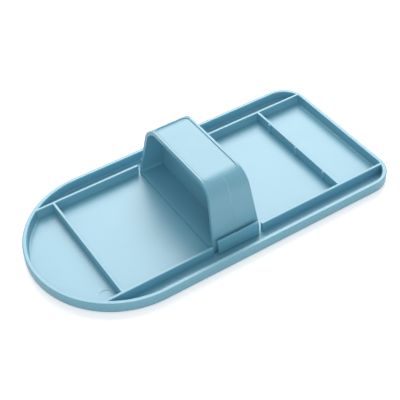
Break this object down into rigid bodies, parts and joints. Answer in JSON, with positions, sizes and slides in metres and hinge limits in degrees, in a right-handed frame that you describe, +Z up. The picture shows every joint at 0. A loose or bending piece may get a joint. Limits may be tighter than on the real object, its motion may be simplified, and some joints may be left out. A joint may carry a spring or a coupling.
{
  "type": "icing smoother",
  "caption": "Icing smoother: a flat plate with a round end, low rim and ribs, and a clip-on loop handle for smoothing rolled icing.",
  "frame": {"origin": "on the smoothing face, under the middle of the plate's length and width", "axes": "+X along the plate from the round end to the square end, +Y across it, +Z up from the smoothing face to the handle"},
  "size_m": [0.16, 0.08, 0.0323],
  "materials": {
    "plate_plastic": "pale blue moulded polypropylene, semi-gloss",
    "handle_plastic": "pale blue moulded polypropylene, satin"
  },
  "bodies": {
    "plate": {"smoothing_plate": "plate_plastic"},
    "handle": {"handle": "handle_plastic"},
    "near_clip": {"near_clip": "plate_plastic"},
    "far_clip": {"far_clip": "plate_plastic"}
  },
  "joints": [
    {"name": "handle_lift", "type": "slide", "parent": "plate", "child": "handle", "axis": [0, 0, 1], "range_m": [0, 0.03]},
    {"name": "near_clip_flex", "type": "hinge", "parent": "plate", "child": "near_clip", "pos_m": [0, -0.03168, 0.00195], "axis": [1, 0, 0], "range_deg": [0, 6], "stiffness_Nm_per_rad": 0.5},
    {"name": "far_clip_flex", "type": "hinge", "parent": "plate", "child": "far_clip", "pos_m": [0, 0.03168, 0.00195], "axis": [-1, 0, 0], "range_deg": [0, 6], "stiffness_Nm_per_rad": 0.5}
  ]
}
